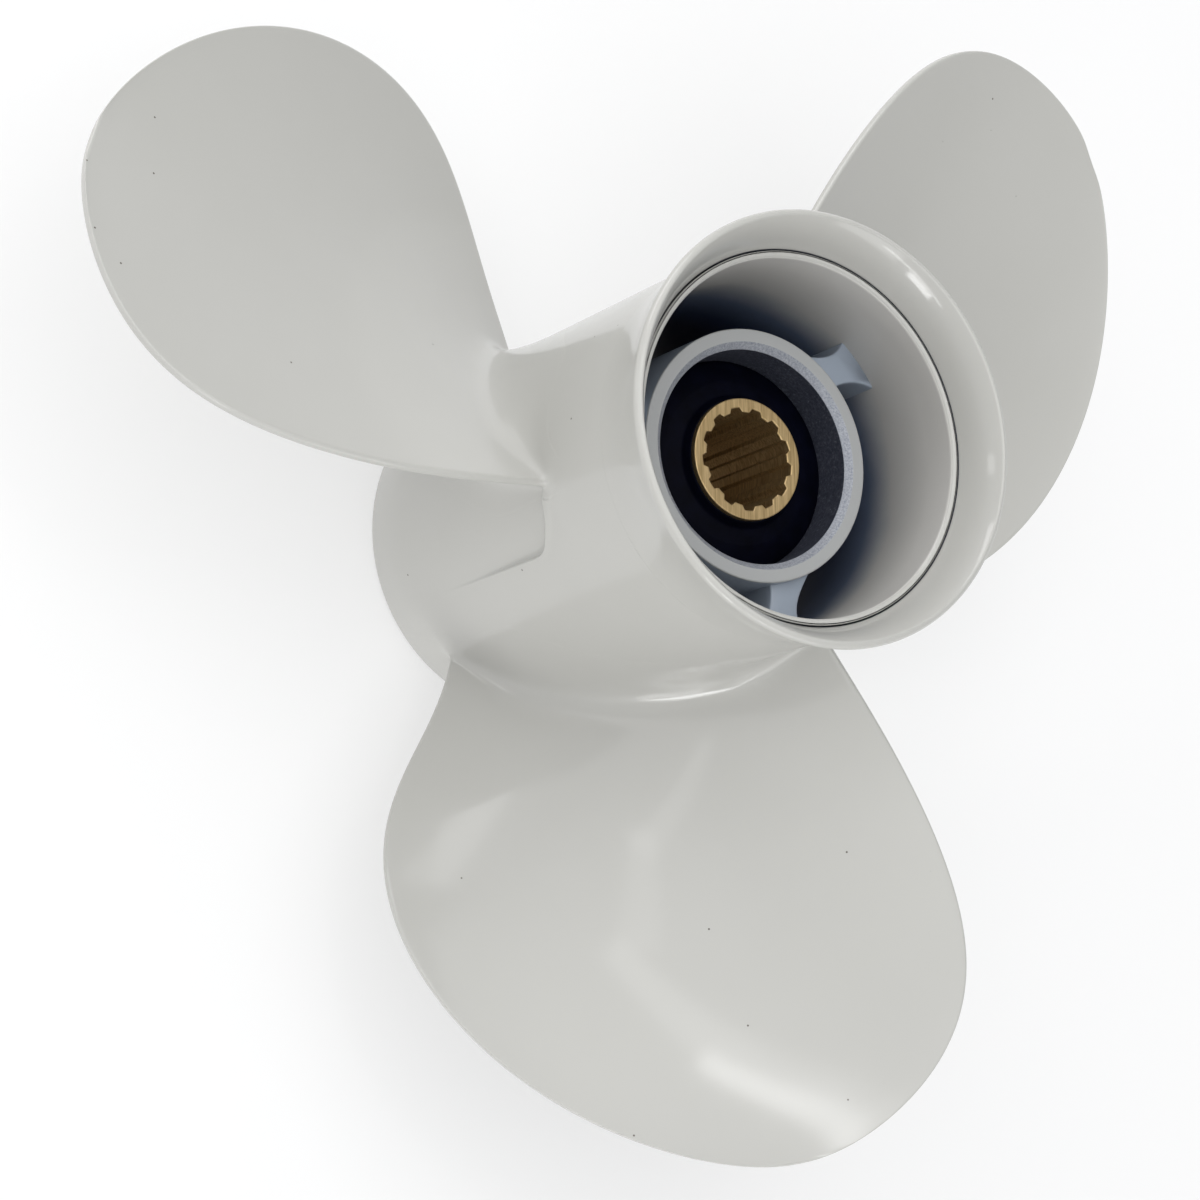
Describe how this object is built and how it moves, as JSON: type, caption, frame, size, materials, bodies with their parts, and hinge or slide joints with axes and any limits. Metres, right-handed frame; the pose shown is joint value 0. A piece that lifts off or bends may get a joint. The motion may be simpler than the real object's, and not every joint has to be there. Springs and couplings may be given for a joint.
{
  "type": "boat propeller",
  "caption": "Three-blade right-hand outboard propeller with a through-hub exhaust barrel, flared diffuser ring and rubber-cushioned splined sleeve.",
  "frame": {"origin": "on the shaft axis, in the front thrust face of the splined sleeve", "axes": "+Z along the shaft axis, aft, so the part stands on the barrel's front rim; +Y through the middle of the first blade's root"},
  "size_m": [0.2621, 0.251, 0.1255],
  "materials": {
    "white_paint_on_aluminium": "gloss",
    "black_rubber": "satin",
    "brass": "satin"
  },
  "bodies": {
    "drive_hub": {"splined_sleeve": "brass", "rubber_bush": "black_rubber"},
    "propeller": {"barrel": "white_paint_on_aluminium", "inner_hub_tube": "white_paint_on_aluminium", "rib_1": "white_paint_on_aluminium", "rib_2": "white_paint_on_aluminium", "rib_3": "white_paint_on_aluminium", "blade_1": "white_paint_on_aluminium", "blade_2": "white_paint_on_aluminium", "blade_3": "white_paint_on_aluminium", "diffuser_ring": "white_paint_on_aluminium"}
  },
  "joints": [
    {"name": "hub_twist", "type": "hinge", "parent": "drive_hub", "child": "propeller", "pos_m": [0, 0, 0.045], "axis": [0, 0, 1], "range_deg": [-15, 15], "stiffness_Nm_per_rad": 560}
  ]
}
